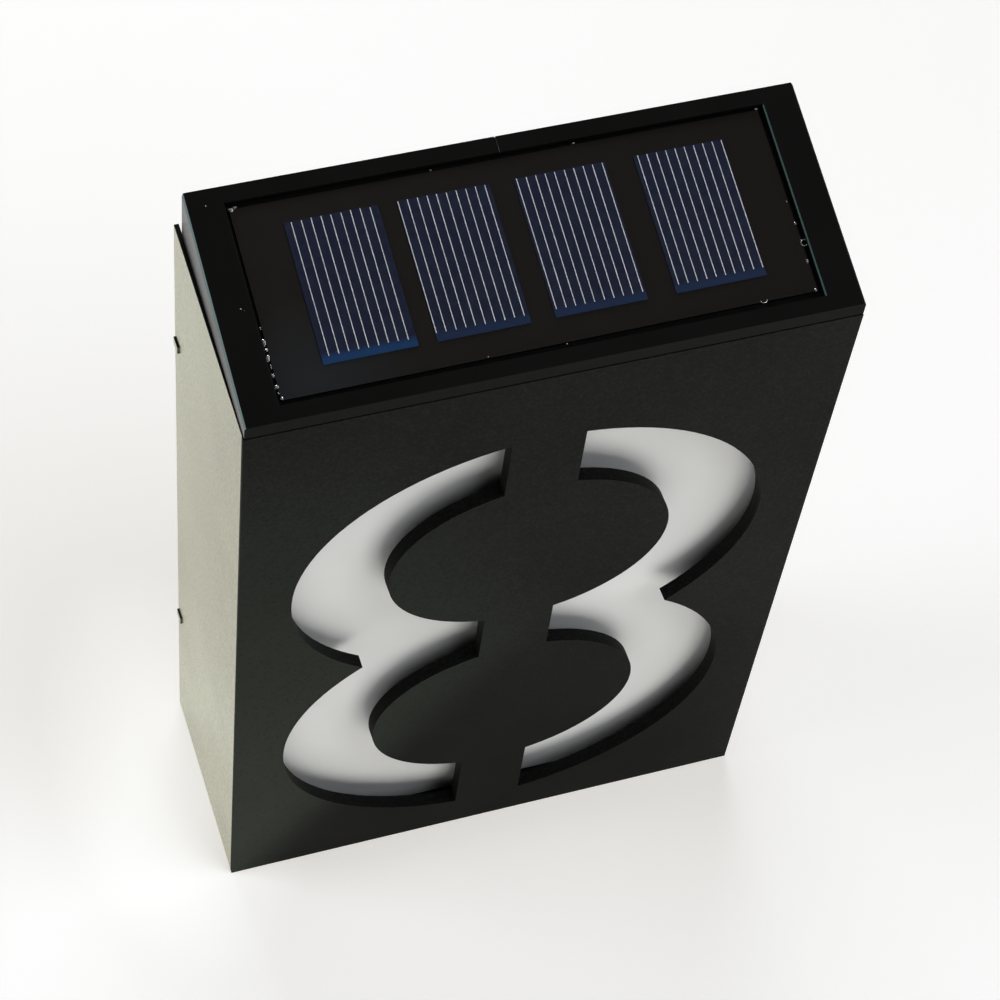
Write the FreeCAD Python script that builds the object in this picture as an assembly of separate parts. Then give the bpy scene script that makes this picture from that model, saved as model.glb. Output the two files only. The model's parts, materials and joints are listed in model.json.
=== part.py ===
import FreeCAD
import Part
import math
import os
from FreeCAD import Vector

# Solar house number sign: a black sheet housing with a stencilled numeral 8, an opal
# diffuser behind it, and a wedge-shaped lid that carries the solar panel and all electrics.
# Millimetres. X runs to the viewer's right, Y to the rear, Z up.
# The origin is the centre of the base, on the surface that the sign stands on.

# ---- housing ----
width = 145.0
depth = 57.0
front_height = 198.0
side_rise = 6.7          # the sides' top edges climb by this much towards the rear
side_splay = 0.8         # the sides' rear top corners spring outwards
front_wall = 1.2
liner_wall = 2.5
side_wall = 1.2
base_wall = 1.2
back_wall = 1.2
back_inset = 1.5         # back plate inside the sides' rear edges
liner_top_drop = 8.5     # liner ends below the front panel's top edge
fit = 0.3                # clearance round pieces that lift out
past = 1.0               # cutters run on this far past what they cut

# ---- numeral 8: two bowls and two counters, all ellipses, split by a bridge ----
digit_side_margin = 13.0
digit_top_margin = 22.7
digit_bottom_margin = 10.7
bowl_half_height = 47.3
stroke_side = 23.9       # stroke width at the bowls' sides
stroke_end = 19.8        # stroke width at the bowls' tops and bottoms
counter_lift = 1.0       # counters sit a little above the bowls' centres
bridge_width = 18.1

# ---- diffuser and reflector ----
diffuser_gap = 4.7       # air between liner and diffuser
diffuser_wall = 2.0
diffuser_play = 0.5
spacer_width = 6.0
spacer_end_width = 3.5
clip_size = 5.0
clip_height = 12.0
clip_levels = (0.15, 0.5, 0.85)
reflector_wall = 0.8

# ---- back plate, its tabs and its screws ----
tab_height = 2.6
tab_reach = 0.4          # tabs stand out from the side panels by this much
lower_tab_level = 46.8
upper_tab_drop = 34.2    # upper tabs below the front panel's top edge
notch_depth = 3.7
back_top_drop = 1.0      # back plate ends below the front panel's height
keyhole_spacing = 80.0
keyhole_head_radius = 4.5
keyhole_slot_radius = 2.3
keyhole_rise = 9.0
keyhole_drop = 33.0      # keyholes' entries below the front panel's top edge
keyhole_room = 3.0       # reflector stays this far from a keyhole
cleat_size = 7.0
drain_radius = 2.0
drain_spacing = 90.0
screw_radius = 1.25
screw_head_radius = 2.4
screw_head_height = 1.4
screw_length = 7.0
screw_margin = 18.0      # back plate's screws from the cleats' ends

# ---- lid ----
lid_inset = 0.22         # lid's sides inside the housing's sides
lid_front_rise = 4.0     # lid's front top edge above the front panel
lid_rear_rise = 20.0     # lid's rear top edge above the front panel
lid_gap = 0.5
lid_edge_break = 0.4     # along the sloping side edges
skirt_depth = 6.0
skirt_wall = 1.6
rim_front = 3.7
rim_rear = 4.0
rim_side = 8.7
pocket_depth = 2.8
pocket_floor = 1.8
pocket_edge_break = 0.3
seam_width = 0.3
seam_depth = 0.3
rest_width = 3.0
rest_height = 3.0
seal_width = 0.9

# ---- solar panel ----
board_gap_left = 0.9
board_gap_right = 1.0
board_gap_front = 1.7
board_gap_rear = 1.0
board_wall = 1.6
board_skew = 0.25        # degrees that the panel lies askew in its recess
cell_count = 4
cell_margin_left = 10.6
cell_margin_right = 11.2
cell_margin_front = 6.0
cell_margin_rear = 5.6
cell_gap = 5.6
cell_wall = 0.3
cell_shifts = (0.35, -0.85, -0.7, 0.6)   # the cells are laid by hand, this far off their even places
sealant_height = 0.8

# ---- module cover under the lid ----
cover_wall = 1.6
cover_fit = 0.2
boss_radius = 3.0
boss_margin = 5.0
boss_tip = 2.0           # solid stretch past a screw's end
boss_lap = 0.45          # bosses run this far up into the roof
cover_screw_length = 6.0

# ---- battery, AA size ----
battery_diameter = 14.5
battery_length = 49.2
battery_nub_radius = 2.7
battery_nub_length = 1.3
battery_play = 0.4
battery_left = -50.0     # battery's rear end along X
cradle_wall = 1.4
cradle_grip = 2.5        # cradle's sides reach this far above the battery's axis
contact_wall = 0.4
contact_size = 9.0
spring_radius = 3.6
spring_wire = 0.6
spring_length = 3.5

# ---- control board ----
pcb_wall = 1.6
pcb_length = 46.0
pcb_depth = 17.0
pcb_gap = 3.2            # underside above the cover
pcb_from_side = 7.0
pillar_radius = 2.2
pillar_margin = 3.2
chip_size = (6.0, 5.0, 1.6)
chip_place = (12.9, 9.4)         # places on the board, from its front left corner
coil_radius = 3.0
coil_height = 3.2
coil_place = (23.9, 9.8)
capacitor_radius = 2.5
capacitor_height = 5.0
capacitor_place = (34.9, 12.0)

# ---- slide switch ----
switch_size = (9.0, 4.0, 2.6)
switch_travel = 3.0
switch_along = 28.5      # from the control board's left end
knob_size = (2.4, 2.2)
knob_reach = 2.6         # below the cover
knob_play = 0.4
knob_lift_play = 0.1     # over the knob, inside the switch

# ---- light strip ----
led_board_length = 96.0
led_board_depth = 10.0
led_board_wall = 1.2
led_board_ahead = 7.7    # the strip starts this far ahead of the control board
led_count = 6
led_radius = 2.2
led_height = 1.8
led_margin = 10.0
led_screw_margin = 4.0

# ---- leads ----
lead_radius = 0.6
lead_bend = 2.0
lead_pitch = 2.6
lead_rise = 3.2          # solar panel's leads turn this far above the board
lead_reach = 6.0
lead_level = 2.5         # battery's leads run this far above the board
lead_along = 13.8        # panel's and lamps' leads, from the control board's left end
battery_lead_along = 5.5
battery_lead_clear = 3.0   # the minus lead runs this far ahead of the cradle

# ---- places worked out from the sizes above ----
y_front = -depth / 2
y_rear = depth / 2
y_liner = y_front + front_wall
y_air = y_liner + liner_wall
y_diffuser = y_air + diffuser_gap
y_chamber = y_diffuser + diffuser_wall
y_back_outer = y_rear - back_inset
y_back = y_back_outer - back_wall
x_inside = width / 2 - side_wall
liner_top = front_height - liner_top_drop
back_top = front_height - back_top_drop
keyhole_level = front_height - keyhole_drop
tab_levels = (lower_tab_level, front_height - upper_tab_drop)

lid_half_width = width / 2 - lid_inset
lid_rear = y_back - fit
lid_front_top = front_height + lid_front_rise
lid_rear_top = front_height + lid_rear_rise
lid_run = lid_rear - y_front
lid_slope = math.atan2(lid_rear_top - lid_front_top, lid_run)
slope_length = math.hypot(lid_rear_top - lid_front_top, lid_run)
skirt_bottom = front_height - skirt_depth
skirt_half_width = x_inside - fit
skirt_front = y_liner + fit
cavity_half_width = skirt_half_width - skirt_wall
cavity_front = skirt_front + skirt_wall
cavity_rear = lid_rear - skirt_wall
cover_top = skirt_bottom + cover_wall

recess_half_width = lid_half_width - rim_side
board_left = -recess_half_width + board_gap_left
board_right = recess_half_width - board_gap_right
board_front = rim_front + board_gap_front
board_rear = slope_length - rim_rear - board_gap_rear
board_bottom = -pocket_depth
board_top = board_bottom + board_wall
cells_span = board_right - board_left - cell_margin_left - cell_margin_right
cell_width = (cells_span - (cell_count - 1) * cell_gap) / cell_count

battery_radius = battery_diameter / 2
battery_y = cavity_rear - cradle_wall - battery_play - battery_radius - fit


def box(x0, y0, z0, x1, y1, z1):
    return Part.makeBox(x1 - x0, y1 - y0, z1 - z0, Vector(x0, y0, z0))


def rod(radius, length, start, direction=Vector(0, 0, 1)):
    return Part.makeCylinder(radius, length, start, direction)


def prism(profile, x0, x1):
    """A YZ outline carried from x0 to x1."""
    points = [Vector(x0, y, z) for y, z in profile]
    outline = Part.makePolygon(points + points[:1])
    return Part.Face(outline).extrude(Vector(x1 - x0, 0, 0))


def top_edge(y):
    """Height of the side panels' top edge at a place along Y."""
    return front_height + side_rise * (y - y_front) / depth


def roof_underside(y):
    """Height of the underside of the lid's sloping roof at a place along Y."""
    roof_top = lid_front_top + (y - y_front) * math.tan(lid_slope)
    return roof_top - (pocket_depth + pocket_floor) / math.cos(lid_slope)


def on_slope(shape):
    """Lay a shape made flat, with Y from the lid's front edge, on the lid's sloping top."""
    laid = shape.copy()
    laid.rotate(Vector(0, 0, 0), Vector(1, 0, 0), math.degrees(lid_slope))
    laid.translate(Vector(0, y_front, lid_front_top))
    return laid


def ellipse_block(half_width, half_height, z):
    """An upright elliptical block through the front panel and its liner."""
    long_axis, short_axis = max(half_width, half_height), min(half_width, half_height)
    curve = Part.Ellipse(Vector(0, 0, 0), long_axis, short_axis)
    face = Part.Face(Part.Wire(curve.toShape()))
    if half_width < half_height:
        face.rotate(Vector(0, 0, 0), Vector(0, 0, 1), 90)
    face.rotate(Vector(0, 0, 0), Vector(1, 0, 0), 90)
    face.translate(Vector(0, y_air + past, z))
    return face.extrude(Vector(0, y_front - y_air - 2 * past, 0))


def numeral():
    """The 8 as a cutter: two bowls less two counters, split down the middle by the bridge."""
    bowl_half_width = width / 2 - digit_side_margin
    lower = digit_bottom_margin + bowl_half_height
    upper = front_height - digit_top_margin - bowl_half_height
    bowls = [ellipse_block(bowl_half_width, bowl_half_height, z) for z in (lower, upper)]
    counters = [
        ellipse_block(bowl_half_width - stroke_side, bowl_half_height - stroke_end, z + counter_lift)
        for z in (lower, upper)
    ]
    bridge = box(-bridge_width / 2, y_front - 2 * past, 0, bridge_width / 2, y_air + 2 * past, front_height)
    return bowls[0].fuse(bowls[1]).cut(counters[0].fuse(counters[1])).cut(bridge)


def front_panel():
    return box(-width / 2, y_front, 0, width / 2, y_liner, front_height).cut(numeral())


def stencil_liner():
    return box(-x_inside, y_liner, base_wall, x_inside, y_air, liner_top).cut(numeral())


def side_panel(side):
    """A side sheet whose rear edge leans outwards towards its top; side is -1 or 1."""
    y0, y1 = y_liner, y_rear
    inner, outer = x_inside, width / 2
    foot = [Vector(inner, y0, 0), Vector(outer, y0, 0), Vector(outer, y1, 0), Vector(inner, y1, 0)]
    head = [
        Vector(inner, y0, top_edge(y0)),
        Vector(outer, y0, top_edge(y0)),
        Vector(outer + side_splay, y1, top_edge(y1)),
        Vector(inner + side_splay, y1, top_edge(y1)),
    ]
    wires = [Part.makePolygon(corners + corners[:1]) for corners in (foot, head)]
    panel = Part.makeLoft(wires, True, True)
    for level in tab_levels:
        notch = box(inner - past, y_rear - notch_depth, level - tab_height / 2,
                    outer + side_splay + past, y_rear + past, level + tab_height / 2)
        panel = panel.cut(notch)
    if side < 0:
        panel = panel.mirror(Vector(0, 0, 0), Vector(1, 0, 0))
    return panel


def base_panel():
    plate = box(-x_inside, y_liner, 0, x_inside, y_back, base_wall)
    drain_y = (y_chamber + y_back) / 2
    for side in (-1, 1):
        place = Vector(side * drain_spacing / 2, drain_y, -past)
        plate = plate.cut(rod(drain_radius, base_wall + 2 * past, place))
    return plate


def keyhole(room=0.0):
    """Both keyholes as a cutter: a round entry for the screw's head and a slot above it."""
    y0 = y_back - reflector_wall - past
    run = y_back_outer + past - y0
    cutters = []
    for side in (-1, 1):
        x = side * keyhole_spacing / 2
        entry = rod(keyhole_head_radius + room, run, Vector(x, y0, keyhole_level), Vector(0, 1, 0))
        seat_z = keyhole_level + keyhole_rise
        seat = rod(keyhole_slot_radius + room, run, Vector(x, y0, seat_z), Vector(0, 1, 0))
        slot_half = keyhole_slot_radius + room
        slot = box(x - slot_half, y0, keyhole_level, x + slot_half, y0 + run, seat_z)
        cutters.append(entry.fuse(seat).fuse(slot))
    return cutters[0].fuse(cutters[1])


def back_screw_places():
    low = base_wall + screw_margin
    high = skirt_bottom - rest_height - fit - screw_margin
    x = x_inside - cleat_size / 2
    return [Vector(side * x, y_back_outer, z) for side in (-1, 1) for z in (low, high)]


def splay_at(level):
    """How far the rear edge of a side panel leans outwards at a height."""
    return side_splay * level / top_edge(y_rear)


def back_plate():
    """The back, whose tabs lie in the side panels' notches and stand out from them a little."""
    plate = box(-x_inside, y_back, 0, x_inside, y_back_outer, back_top)
    tab_play = fit / 2
    for side in (-1, 1):
        for level in tab_levels:
            x0, x1 = sorted((side * x_inside, side * (width / 2 + splay_at(level) + tab_reach)))
            tab = box(x0, y_rear - notch_depth + tab_play, level - tab_height / 2 + tab_play,
                      x1, y_rear, level + tab_height / 2 - tab_play)
            plate = plate.fuse(tab)
    plate = plate.cut(keyhole())
    for place in back_screw_places():
        plate = plate.cut(rod(screw_radius, back_wall, place, Vector(0, -1, 0)))
    return plate.removeSplitter()


def rear_cleat(side):
    x0, x1 = sorted((side * (x_inside - cleat_size), side * x_inside))
    top = skirt_bottom - rest_height - fit
    cleat = box(x0, y_back - cleat_size, base_wall, x1, y_back, top)
    for place in back_screw_places():
        cleat = cleat.cut(rod(screw_radius, screw_length, place, Vector(0, -1, 0)))
    return cleat


def screw(place, direction, length):
    """A pan-head screw: its head stands on the surface at place, its shank points along direction."""
    head = rod(screw_head_radius, screw_head_height, place - direction * screw_head_height, direction)
    return head.fuse(rod(screw_radius, length, place, direction))


def back_screws():
    return Part.makeCompound([screw(p, Vector(0, -1, 0), screw_length) for p in back_screw_places()])


def diffuser_spacer(name):
    """One strip of the frame that keeps the diffuser off the liner."""
    low, high = base_wall, liner_top
    inner = x_inside - spacer_width
    strips = {
        "left": (-x_inside, low, -inner, high),
        "right": (inner, low, x_inside, high),
        "bottom": (-inner, low, inner, low + spacer_end_width),
        "top": (-inner, high - spacer_end_width, inner, high),
    }
    x0, z0, x1, z1 = strips[name]
    return box(x0, y_air, z0, x1, y_diffuser, z1)


def opal_diffuser():
    half = x_inside - diffuser_play
    return box(-half, y_diffuser, base_wall, half, y_chamber, liner_top)


def diffuser_clips():
    """Blocks glued to the sides behind the diffuser's edges."""
    clips = []
    run = liner_top - base_wall
    for side in (-1, 1):
        x0, x1 = sorted((side * (x_inside - clip_size), side * x_inside))
        for level in clip_levels:
            z = base_wall + run * level
            clips.append(box(x0, y_chamber, z - clip_height / 2,
                             x1, y_chamber + clip_size, z + clip_height / 2))
    return Part.makeCompound(clips)


def white_reflector():
    half = x_inside - cleat_size
    top = skirt_bottom - rest_height - fit
    sheet = box(-half, y_back - reflector_wall, base_wall, half, y_back, top)
    return sheet.cut(keyhole(keyhole_room))


def lid_rest(side):
    """A ledge on the inside of a side panel, under the lid's skirt."""
    x0, x1 = sorted((side * (x_inside - rest_width), side * x_inside))
    top = skirt_bottom
    return box(x0, y_chamber + clip_size, top - rest_height, x1, y_back, top)


def lid_seal():
    y0 = y_front + (front_wall - seal_width) / 2
    half = lid_half_width - lid_gap
    return box(-half, y0, front_height, half, y0 + seal_width, front_height + lid_gap)


def pocket():
    """The cutter for the solar panel's recess, whose left and right edges are broken."""
    half = recess_half_width
    y0, y1 = rim_front, slope_length - rim_rear
    cutter = box(-half, y0, -pocket_depth, half, y1, past)
    wires = []
    for spread, z in ((0, -pocket_edge_break), (2 * pocket_edge_break, pocket_edge_break)):
        corners = [
            Vector(-half - spread, y0, z), Vector(half + spread, y0, z),
            Vector(half + spread, y1, z), Vector(-half - spread, y1, z),
        ]
        wires.append(Part.makePolygon(corners + corners[:1]))
    return on_slope(cutter.fuse(Part.makeLoft(wires, True, True)))


def boss_places():
    x = cavity_half_width - boss_margin
    return [
        Vector(side * x, y, cover_top)
        for side in (-1, 1)
        for y in (cavity_front + boss_margin + boss_radius, cavity_rear - boss_margin)
    ]


def boss_top(place):
    return roof_underside(place.y + boss_radius) + boss_lap


def boss_screw_length(place):
    """Length of a module screw, which stays inside its boss."""
    return min(cover_screw_length, boss_top(place) - skirt_bottom - boss_tip)


def sloping_edges(wedge):
    """The wedge's two side edges along its sloping top."""
    def ends(edge):
        return [vertex.Point for vertex in edge.Vertexes]
    return [edge for edge in wedge.Edges if all(p.z > lid_front_top - fit for p in ends(edge))
            and abs(ends(edge)[0].x - ends(edge)[1].x) < fit]


def lid_frame():
    outer = prism(
        [(y_front, front_height + lid_gap), (y_front, lid_front_top),
         (lid_rear, lid_rear_top), (lid_rear, top_edge(lid_rear) + lid_gap)],
        -lid_half_width, lid_half_width)
    outer = outer.makeChamfer(lid_edge_break, sloping_edges(outer))
    lap = lid_gap + lid_front_rise / 2
    skirt = prism(
        [(skirt_front, skirt_bottom), (skirt_front, front_height + lap),
         (lid_rear, top_edge(lid_rear) + lap), (lid_rear, skirt_bottom)],
        -skirt_half_width, skirt_half_width)
    cavity = prism(
        [(cavity_front, skirt_bottom - past), (cavity_front, roof_underside(cavity_front)),
         (cavity_rear, roof_underside(cavity_rear)), (cavity_rear, skirt_bottom - past)],
        -cavity_half_width, cavity_half_width)
    lid = outer.fuse(skirt).cut(cavity)
    for place in boss_places():
        boss = rod(boss_radius, boss_top(place) - cover_top, place)
        hole = rod(screw_radius, boss_screw_length(place) - cover_wall, place)
        lid = lid.fuse(boss).cut(hole)
    lid = lid.cut(pocket())
    lead_hole = box(lead_x() - lead_pitch, lead_slot_front(), -pocket_depth - pocket_floor - past,
                    lead_x() + lead_pitch, lead_slot_front() + 2 * lead_pitch, 0)
    seam = box(-seam_width / 2, slope_length - rim_rear - past, -seam_depth,
               seam_width / 2, slope_length + past, past)
    return lid.cut(on_slope(lead_hole)).cut(on_slope(seam)).removeSplitter()


def skewed(shape):
    """Turn a piece of the solar panel by the angle that the panel lies askew."""
    turned = shape.copy()
    centre = Vector((board_left + board_right) / 2, (board_front + board_rear) / 2, 0)
    turned.rotate(centre, Vector(0, 0, 1), board_skew)
    return on_slope(turned)


def solar_panel_board():
    return skewed(box(board_left, board_front, board_bottom, board_right, board_rear, board_top))


def solar_cell(index):
    x0 = board_left + cell_margin_left + index * (cell_width + cell_gap) + cell_shifts[index]
    return skewed(box(x0, board_front + cell_margin_front, board_top,
                      x0 + cell_width, board_rear - cell_margin_rear, board_top + cell_wall))


def panel_sealant():
    """The bead that fills the slot round the solar panel's lower edge."""
    half = recess_half_width
    bed = box(-half, rim_front, -pocket_depth,
              half, slope_length - rim_rear, -pocket_depth + sealant_height)
    return on_slope(bed).cut(solar_panel_board())


def cradle_ends():
    """Where the cradle's end walls begin, on the spring's and on the plate's side."""
    left = battery_left - spring_length - contact_wall
    right = battery_left + battery_length + battery_nub_length + contact_wall
    return left, right


def battery_z():
    """Height of the battery's axis, just under the sloping roof."""
    front_side = battery_y - battery_radius - cradle_wall - battery_play
    return roof_underside(front_side) - battery_radius - fit


def pcb_place():
    """Low corner of the control board."""
    x1 = cavity_half_width - pcb_from_side
    y1 = cavity_rear - boss_margin - boss_radius - fit
    return Vector(x1 - pcb_length, y1 - pcb_depth, cover_top + pcb_gap)


def switch_place():
    """Middle of the slide switch, on the control board's underside."""
    corner = pcb_place()
    return Vector(corner.x + switch_along, corner.y + pcb_depth / 2, corner.z)


def module_cover():
    half = cavity_half_width - cover_fit
    plate = box(-half, cavity_front + cover_fit, skirt_bottom, half, cavity_rear - cover_fit, cover_top)
    left, right = cradle_ends()
    slot = battery_radius + battery_play
    plate = plate.cut(box(left, battery_y - slot, skirt_bottom - past,
                          right, battery_y + slot, cover_top + past))
    for place in boss_places():
        plate = plate.cut(rod(screw_radius, cover_wall + 2 * past, place - Vector(0, 0, cover_wall + past)))
    knob = switch_place()
    plate = plate.cut(box(
        knob.x - knob_size[0] / 2 - knob_play, knob.y - knob_size[1] / 2 - knob_play, skirt_bottom - past,
        knob.x + knob_size[0] / 2 + switch_travel + knob_play, knob.y + knob_size[1] / 2 + knob_play,
        cover_top + past))
    for place in led_screw_places():
        plate = plate.cut(rod(screw_radius, led_board_wall + cover_wall, place))
    rear_edge = led_board_y() + led_board_depth
    return plate.cut(box(lead_x() - lead_pitch, rear_edge - lead_pitch, skirt_bottom - past,
                         lead_x() + lead_pitch, rear_edge, cover_top + past))


def module_screws():
    up = Vector(0, 0, 1)
    return Part.makeCompound([
        screw(Vector(p.x, p.y, skirt_bottom), up, boss_screw_length(p)) for p in boss_places()
    ])


def battery():
    start = Vector(battery_left, battery_y, battery_z())
    can = rod(battery_radius, battery_length, start, Vector(1, 0, 0))
    nub = rod(battery_nub_radius, battery_length + battery_nub_length - fit, start, Vector(1, 0, 0))
    return can.fuse(nub)


def battery_cradle():
    """Two end walls and two long walls round the battery, open below for pulling it out."""
    left, right = cradle_ends()
    inner = battery_radius + battery_play
    outer = inner + cradle_wall
    low = cover_top
    high = battery_z() + cradle_grip
    shell = box(left - cradle_wall, battery_y - outer, low, right + cradle_wall, battery_y + outer, high)
    return shell.cut(box(left, battery_y - inner, low - past, right, battery_y + inner, high + past))


def battery_contact():
    x = cradle_ends()[1] - contact_wall
    half = contact_size / 2
    low = max(battery_z() - half, cover_top)
    return box(x, battery_y - half, low, x + contact_wall, battery_y + half, battery_z() + cradle_grip)


def battery_spring():
    """The battery's spring with its foot plate, as the plain sleeve that its turns fill."""
    start = Vector(cradle_ends()[0], battery_y, battery_z())
    along = Vector(1, 0, 0)
    length = spring_length + contact_wall - fit
    sleeve = rod(spring_radius, length, start, along)
    sleeve = sleeve.cut(rod(spring_radius - spring_wire, length, start, along))
    return sleeve.fuse(rod(spring_radius, contact_wall, start, along))


def control_board():
    c = pcb_place()
    return box(c.x, c.y, c.z, c.x + pcb_length, c.y + pcb_depth, c.z + pcb_wall)


def board_pillars():
    c = pcb_place()
    xs = (c.x + pillar_margin, c.x + pcb_length - pillar_margin)
    y = c.y + pcb_depth / 2
    return Part.makeCompound([rod(pillar_radius, pcb_gap, Vector(x, y, cover_top)) for x in xs])


def on_board(along, back=0.0):
    """A place on the control board's top, from its front left corner."""
    return pcb_place() + Vector(along, back, pcb_wall)


def charge_chip():
    p = on_board(*chip_place)
    return Part.makeBox(*chip_size, p - Vector(chip_size[0] / 2, chip_size[1] / 2, 0))


def boost_coil():
    return rod(coil_radius, coil_height, on_board(*coil_place))


def capacitor():
    return rod(capacitor_radius, capacitor_height, on_board(*capacitor_place))


def switch_body():
    p = switch_place()
    length, across, height = switch_size
    x0 = p.x - length / 2 + switch_travel / 2
    body = box(x0, p.y - across / 2, p.z - height, x0 + length, p.y + across / 2, p.z)
    track = box(p.x - knob_size[0] / 2 - knob_play, p.y - knob_size[1] / 2 - knob_play, p.z - height - past,
                p.x + knob_size[0] / 2 + switch_travel + knob_play, p.y + knob_size[1] / 2 + knob_play,
                p.z - height / 2)
    return body.cut(track)


def switch_knob():
    p = switch_place()
    top = p.z - switch_size[2] / 2 - knob_lift_play
    return box(p.x - knob_size[0] / 2, p.y - knob_size[1] / 2, skirt_bottom - knob_reach,
               p.x + knob_size[0] / 2, p.y + knob_size[1] / 2, top)


def led_board_y():
    return pcb_place().y - led_board_ahead


def led_screw_places():
    x = led_board_length / 2 - led_screw_margin
    y = led_board_y() + led_board_depth / 2
    return [Vector(side * x, y, skirt_bottom - led_board_wall) for side in (-1, 1)]


def led_board():
    half = led_board_length / 2
    y0, z0 = led_board_y(), skirt_bottom - led_board_wall
    board = box(-half, y0, z0, half, y0 + led_board_depth, skirt_bottom)
    for place in led_screw_places():
        board = board.cut(rod(screw_radius, led_board_wall, place))
    return board


def leds():
    """Dome lenses in a row under the light strip's board."""
    pitch = (led_board_length - 2 * led_margin) / (led_count - 1)
    y = led_board_y() + led_board_depth / 2
    z = skirt_bottom - led_board_wall - led_height
    reach = led_radius + past
    lamps = []
    for index in range(led_count):
        x = -led_board_length / 2 + led_margin + index * pitch
        dome = Part.makeSphere(led_radius, Vector(x, y, z))
        dome = dome.cut(box(x - reach, y - reach, z, x + reach, y + reach, z + reach))
        lamps.append(dome.fuse(rod(led_radius, led_height, Vector(x, y, z))))
    return Part.makeCompound(lamps)


def led_screws():
    length = led_board_wall + cover_wall
    return Part.makeCompound([screw(p, Vector(0, 0, 1), length) for p in led_screw_places()])


def bent_tube(points, radius, bend):
    """A round lead along straight runs, with a tangent arc at each corner."""
    edges = []
    start = points[0]
    for here, after in zip(points[1:-1], points[2:]):
        into = (here - start).normalize()
        out = (after - here).normalize()
        turn = into.getAngle(out)
        back_off = bend * math.tan(turn / 2)
        arc_start = here - into * back_off
        arc_end = here + out * back_off
        middle = (arc_start + arc_end) / 2
        apex = here + (middle - here).normalize() * (bend / math.cos(turn / 2) - bend)
        edges.append(Part.LineSegment(start, arc_start).toShape())
        edges.append(Part.Arc(arc_start, apex, arc_end).toShape())
        start = arc_end
    edges.append(Part.LineSegment(start, points[-1]).toShape())
    path = Part.Wire(edges)
    first = (points[1] - points[0]).normalize()
    ring = Part.Wire(Part.Circle(points[0], first, radius).toShape())
    return path.makePipeShell([ring], True, False)


def lead_x():
    return on_board(lead_along).x


def lead_slot_front():
    """Where the solar panel's leads pass through the lid's roof, along the slope."""
    run = pcb_place().y - y_front
    return run / math.cos(lid_slope) - 2 * lead_pitch


def panel_lead(side):
    """From the solar panel's underside, over the control board's edge and down on to it."""
    along, down = lead_slot_front() + lead_pitch, -board_bottom
    x = lead_x() + side * lead_pitch / 2
    y = y_front + along * math.cos(lid_slope) + down * math.sin(lid_slope)
    z = lid_front_top + along * math.sin(lid_slope) - down * math.cos(lid_slope)
    z -= lead_radius * math.tan(lid_slope)
    board = on_board(0).z
    turn = board + lead_rise
    return bent_tube([Vector(x, y, z), Vector(x, y, turn), Vector(x, y + lead_reach, turn),
                      Vector(x, y + lead_reach, board)], lead_radius, lead_bend)


def battery_lead_plus():
    """From the contact's end wall, level, then down on to the control board."""
    landing = on_board(battery_lead_along)
    start = Vector(cradle_ends()[1] + cradle_wall, battery_y - lead_pitch, landing.z + lead_level)
    return bent_tube([start, Vector(landing.x, start.y, start.z), Vector(landing.x, start.y, landing.z)],
                     lead_radius, lead_bend)


def battery_lead_minus():
    """From the spring's end of the cradle, along its front wall to the control board."""
    wall_y = battery_y - battery_radius - battery_play - cradle_wall
    landing = on_board(battery_lead_along)
    start = Vector(cradle_ends()[0] + lead_pitch, wall_y, landing.z + lead_level)
    y = wall_y - battery_lead_clear
    return bent_tube([start, Vector(start.x, y, start.z), Vector(landing.x, y, start.z),
                      Vector(landing.x, y, landing.z)], lead_radius, lead_bend)


def led_lead(side):
    """Straight down from the control board's underside to the light strip's board."""
    x = lead_x() + side * lead_pitch / 2
    y = led_board_y() + led_board_depth - lead_pitch / 2
    return rod(lead_radius, pcb_place().z - skirt_bottom, Vector(x, y, skirt_bottom))


parts = {
    "front_panel": front_panel(),
    "stencil_liner": stencil_liner(),
    "left_side_panel": side_panel(-1),
    "right_side_panel": side_panel(1),
    "base_panel": base_panel(),
    "back_plate": back_plate(),
    "rear_cleat_left": rear_cleat(-1),
    "rear_cleat_right": rear_cleat(1),
    "back_screws": back_screws(),
    "opal_diffuser": opal_diffuser(),
    "diffuser_clips": diffuser_clips(),
    "white_reflector": white_reflector(),
    "lid_rest_left": lid_rest(-1),
    "lid_rest_right": lid_rest(1),
    "lid_seal": lid_seal(),
    "lid_frame": lid_frame(),
    "solar_panel_board": solar_panel_board(),
    "panel_sealant": panel_sealant(),
    "module_cover": module_cover(),
    "module_screws": module_screws(),
    "battery": battery(),
    "battery_cradle": battery_cradle(),
    "battery_contact": battery_contact(),
    "battery_spring": battery_spring(),
    "control_board": control_board(),
    "board_pillars": board_pillars(),
    "charge_chip": charge_chip(),
    "boost_coil": boost_coil(),
    "capacitor": capacitor(),
    "switch_body": switch_body(),
    "switch_knob": switch_knob(),
    "led_board": led_board(),
    "leds": leds(),
    "led_screws": led_screws(),
    "panel_lead_plus": panel_lead(1),
    "panel_lead_minus": panel_lead(-1),
    "battery_lead_plus": battery_lead_plus(),
    "battery_lead_minus": battery_lead_minus(),
    "led_lead_plus": led_lead(1),
    "led_lead_minus": led_lead(-1),
}
for place in ("left", "right", "bottom", "top"):
    parts["diffuser_spacer_" + place] = diffuser_spacer(place)
for index in range(cell_count):
    parts["solar_cell_%d" % (index + 1)] = solar_cell(index)

os.makedirs("parts", exist_ok=True)
for name, shape in parts.items():
    shape.exportStep("parts/%s.step" % name)
    corners = shape.BoundBox
    print("%-24s %d solids %10.1f mm3  z %.1f to %.1f" % (
        name, len(shape.Solids), shape.Volume, corners.ZMin, corners.ZMax))
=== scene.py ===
import json
import math
import bmesh
import bpy
import numpy as np
from mathutils import Matrix, Vector

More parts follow.
